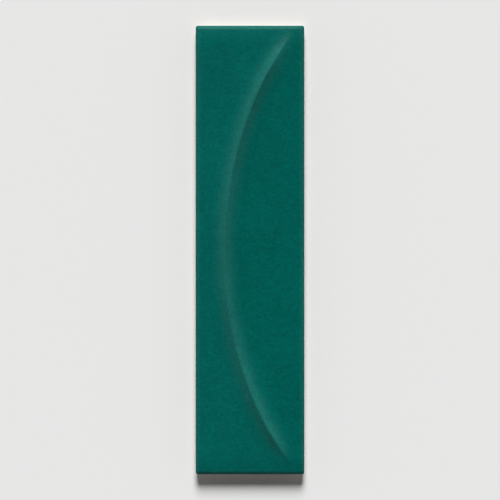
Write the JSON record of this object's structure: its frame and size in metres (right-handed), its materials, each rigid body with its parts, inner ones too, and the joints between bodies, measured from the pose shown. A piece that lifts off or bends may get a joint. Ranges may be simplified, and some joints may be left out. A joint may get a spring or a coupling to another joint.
{
  "type": "relief wall tile",
  "caption": "Long narrow glazed wall tile with a thin raised crest that curves in a shallow arc across its flat face, so that a turned neighbour closes a pointed oval.",
  "frame": {"origin": "centre of the back, on the level of the rib tops that the tile lies on", "axes": "+X across the tile towards the side that the crest's ends come near, +Y along the tile, +Z out of the decorated face"},
  "size_m": [0.06, 0.248, 0.0111],
  "materials": {
    "glazed_clay": "satin"
  },
  "bodies": {
    "root": {"wall_tile": "glazed_clay"}
  },
  "joints": []
}
